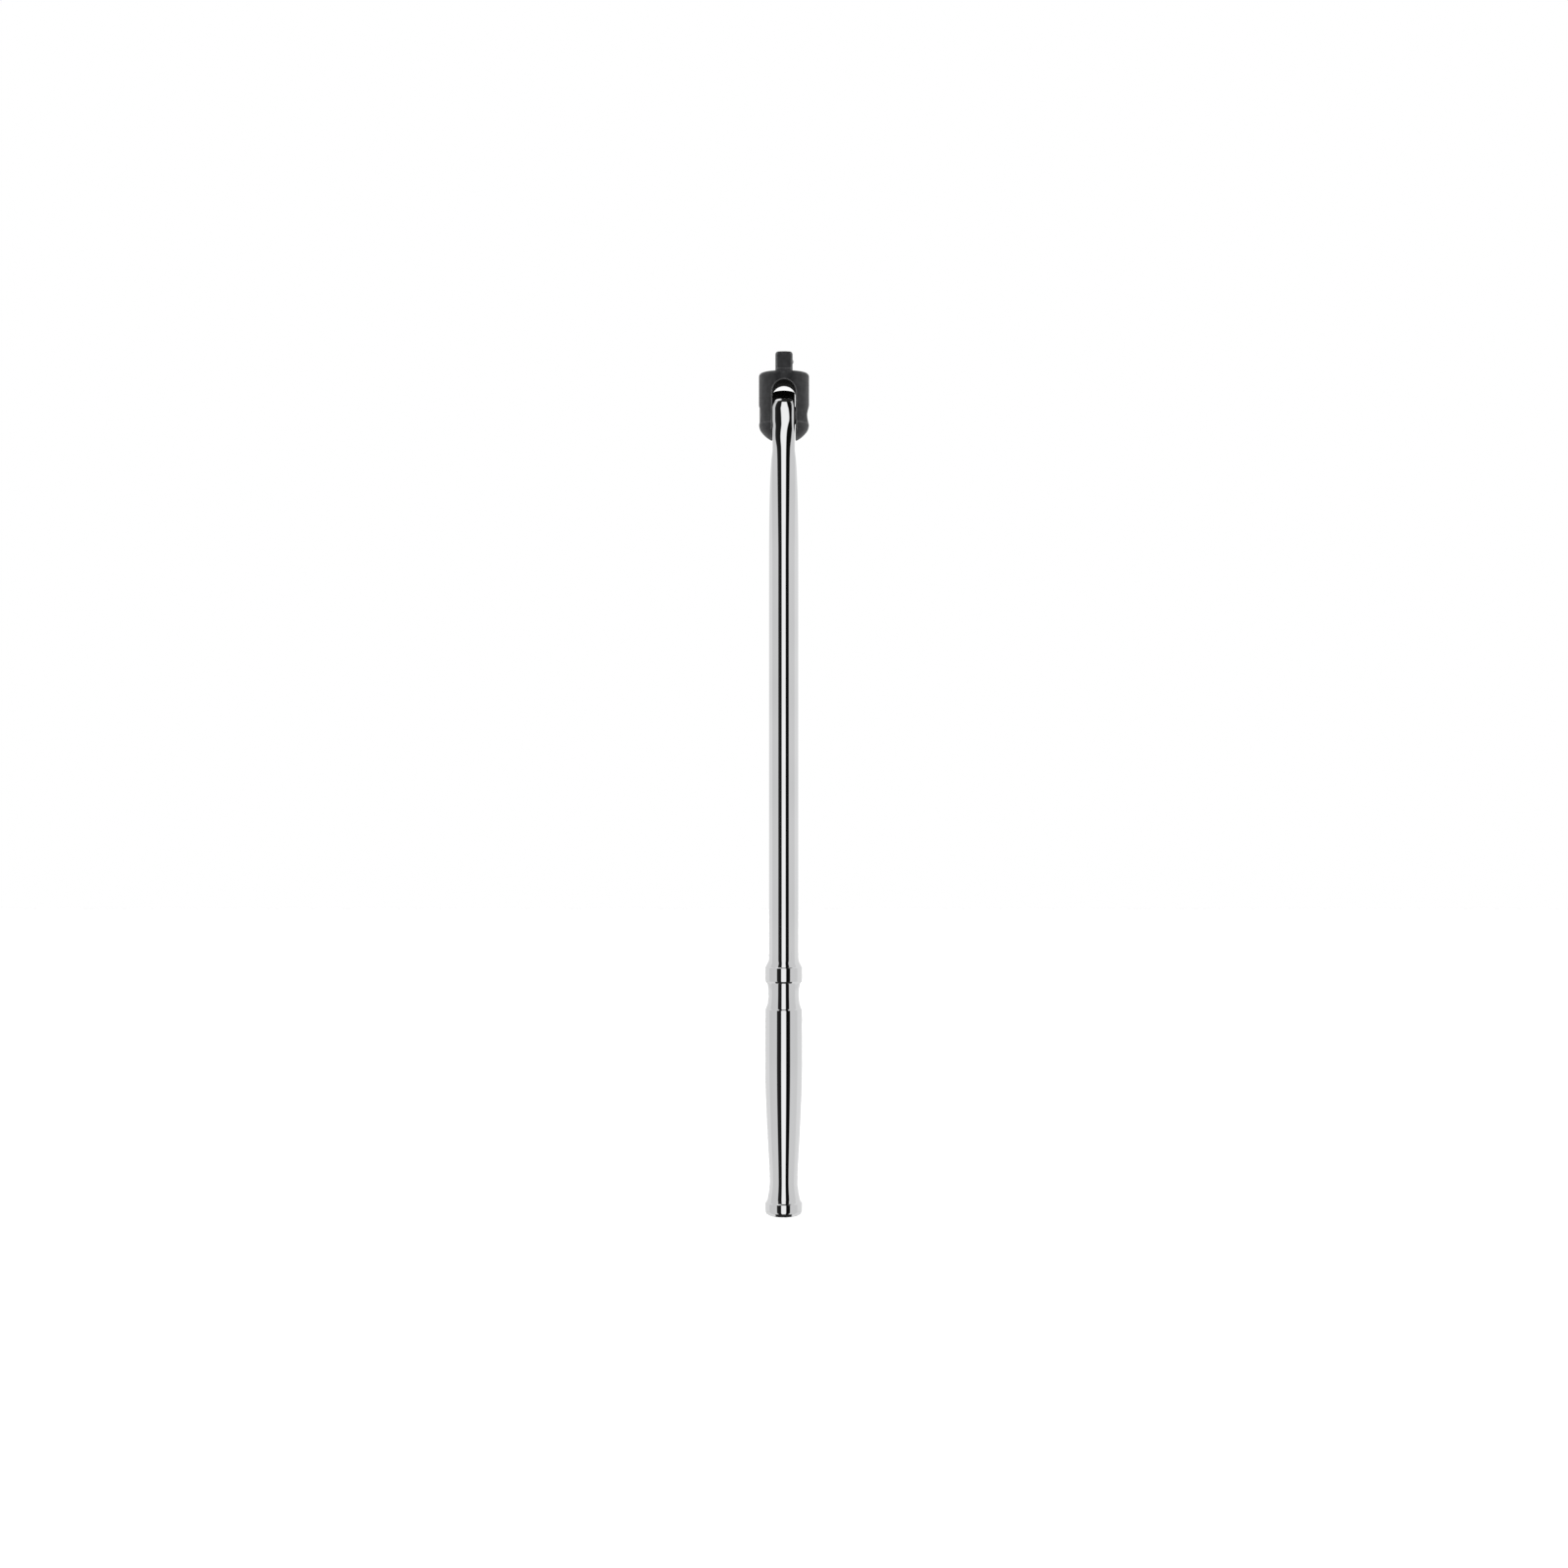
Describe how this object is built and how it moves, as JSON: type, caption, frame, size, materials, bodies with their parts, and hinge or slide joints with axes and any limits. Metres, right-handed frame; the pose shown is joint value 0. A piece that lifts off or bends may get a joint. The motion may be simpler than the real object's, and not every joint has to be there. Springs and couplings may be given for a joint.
{
  "type": "breaker bar",
  "caption": "Long chrome-plated turning bar with a swelling grip, whose black pinned yoke head flexes and carries a square drive with a sprung detent ball.",
  "frame": {"origin": "centre of the head's shoulder face, where a socket seats at the foot of the drive square", "axes": "+Z out of the drive square along the bar, +X along the pivot pin towards the detent ball's side, +Y to the back"},
  "size_m": [0.037, 0.037, 0.6373],
  "materials": {
    "chrome_plate": "bright polished chrome plate",
    "black_oxide": "satin black oxide on forged steel",
    "pin_steel": "ground steel, lightly oiled",
    "ball_steel": "polished hardened steel",
    "spring_wire": "drawn spring wire"
  },
  "bodies": {
    "handle": {"handle_bar": "chrome_plate", "friction_spring": "spring_wire"},
    "head": {"drive_head": "black_oxide", "pivot_pin": "pin_steel", "detent_spring": "spring_wire"},
    "detent": {"detent_ball": "ball_steel"},
    "friction_plunger": {"friction_ball": "ball_steel"}
  },
  "joints": [
    {"name": "head_flex", "type": "hinge", "parent": "handle", "child": "head", "pos_m": [0, 0, -0.0312], "axis": [1, 0, 0], "range_deg": [-90, 90]},
    {"name": "detent_press", "type": "slide", "parent": "head", "child": "detent", "axis": [1, 0, 0], "range_m": [-0.0009, 0], "stiffness_N_per_m": 4000, "springref_m": 0.002, "deforming": ["detent_spring"]},
    {"name": "friction_press", "type": "slide", "parent": "handle", "child": "friction_plunger", "axis": [1, 0, 0], "range_m": [-0.00055, 0], "stiffness_N_per_m": 4000, "springref_m": 0.0025, "deforming": ["friction_spring"]}
  ]
}
